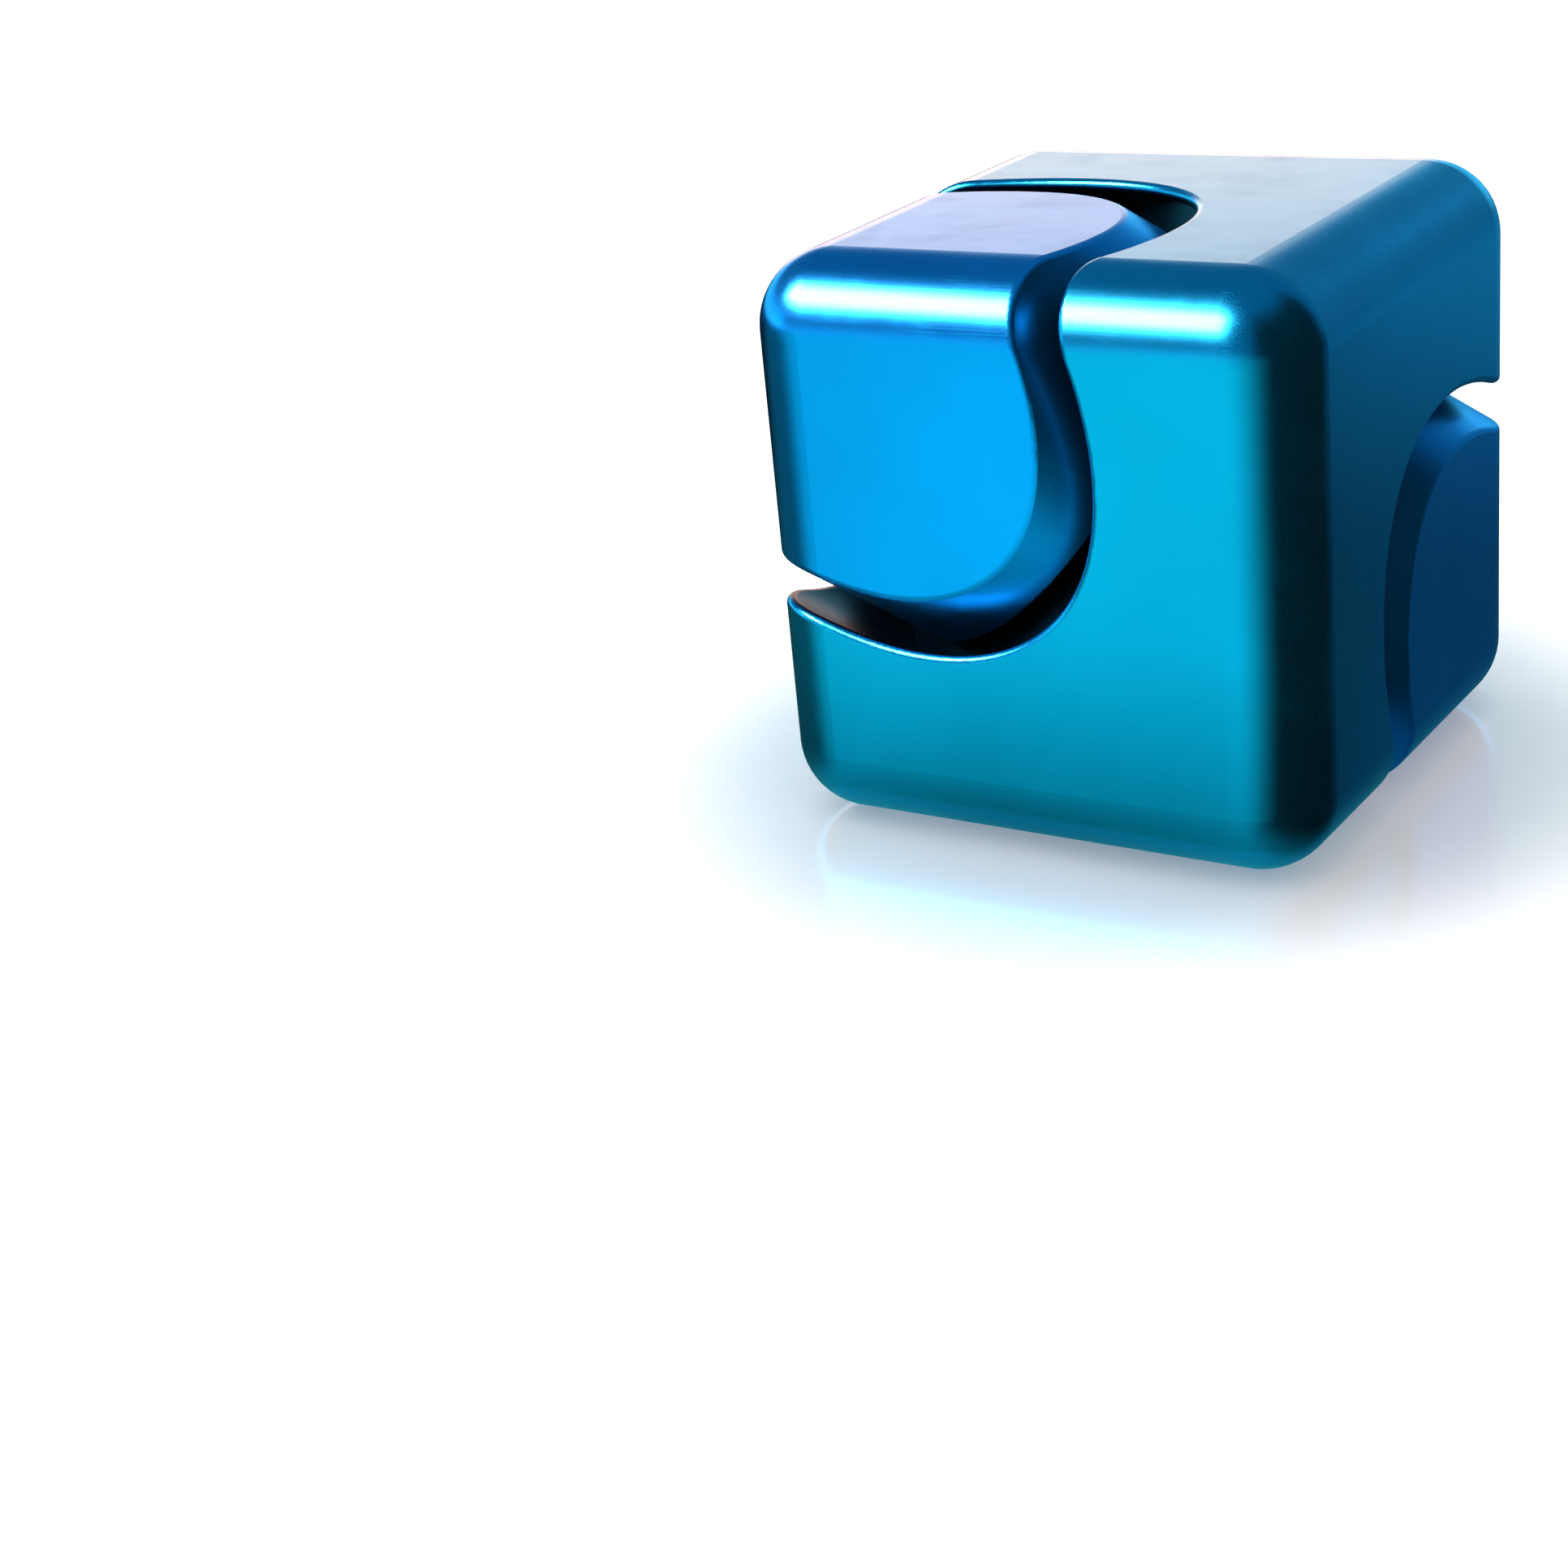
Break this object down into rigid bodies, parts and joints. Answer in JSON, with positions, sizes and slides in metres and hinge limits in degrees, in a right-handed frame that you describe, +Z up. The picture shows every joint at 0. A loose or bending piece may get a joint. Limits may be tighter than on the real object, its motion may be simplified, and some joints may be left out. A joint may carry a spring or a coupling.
{
  "type": "fidget cube",
  "caption": "Metal spinner cube: a rounded body spins on a diagonal axle between two round-sided corner caps, on shielded ball bearings.",
  "frame": {"origin": "middle of the face the cube stands on, at rest", "axes": "+Z up; the spin axis runs from the front, left, top corner (-X, -Y, +Z) to the back, right, bottom corner (+X, +Y, -Z) through the cube's centre"},
  "size_m": [0.026, 0.026, 0.026],
  "materials": {
    "body_metal": "polished, blue tinted plating",
    "cap_metal": "polished, blue tinted plating",
    "axle_steel": "turned",
    "washer_brass": "stamped",
    "bearing_rings": "ground bearing steel",
    "bearing_balls": "polished",
    "bearing_cage": "moulded",
    "bearing_shields": "pressed",
    "bearing_clips": "drawn spring wire"
  },
  "bodies": {
    "body": {"spinning_body": "body_metal", "upper_bearing_outer_ring": "bearing_rings", "upper_bearing_outer_shield": "bearing_shields", "upper_bearing_inner_shield": "bearing_shields", "upper_bearing_outer_clip": "bearing_clips", "upper_bearing_inner_clip": "bearing_clips", "lower_bearing_outer_ring": "bearing_rings", "lower_bearing_outer_shield": "bearing_shields", "lower_bearing_inner_shield": "bearing_shields", "lower_bearing_outer_clip": "bearing_clips", "lower_bearing_inner_clip": "bearing_clips"},
    "core": {"upper_corner_cap": "cap_metal", "lower_corner_cap": "cap_metal", "axle": "axle_steel", "bearing_spacer": "axle_steel", "upper_hub_washer": "washer_brass", "lower_hub_washer": "washer_brass", "upper_bearing_inner_ring": "bearing_rings", "lower_bearing_inner_ring": "bearing_rings"},
    "upper_cage": {"upper_bearing_balls": "bearing_balls", "upper_bearing_cage": "bearing_cage"},
    "lower_cage": {"lower_bearing_balls": "bearing_balls", "lower_bearing_cage": "bearing_cage"}
  },
  "joints": [
    {"name": "core_spin", "type": "hinge", "parent": "body", "child": "core", "pos_m": [0, 0, 0.013], "axis": [-0.5774, -0.5774, 0.5774], "continuous": true},
    {"name": "upper_cage_spin", "type": "hinge", "parent": "body", "child": "upper_cage", "pos_m": [0, 0, 0.013], "axis": [-0.5774, -0.5774, 0.5774], "continuous": true},
    {"name": "lower_cage_spin", "type": "hinge", "parent": "body", "child": "lower_cage", "pos_m": [0, 0, 0.013], "axis": [-0.5774, -0.5774, 0.5774], "continuous": true}
  ],
  "couplings": [
    {"joint": "upper_cage_spin", "follows": "core_spin", "ratio": 0.39417},
    {"joint": "lower_cage_spin", "follows": "core_spin", "ratio": 0.39417}
  ]
}
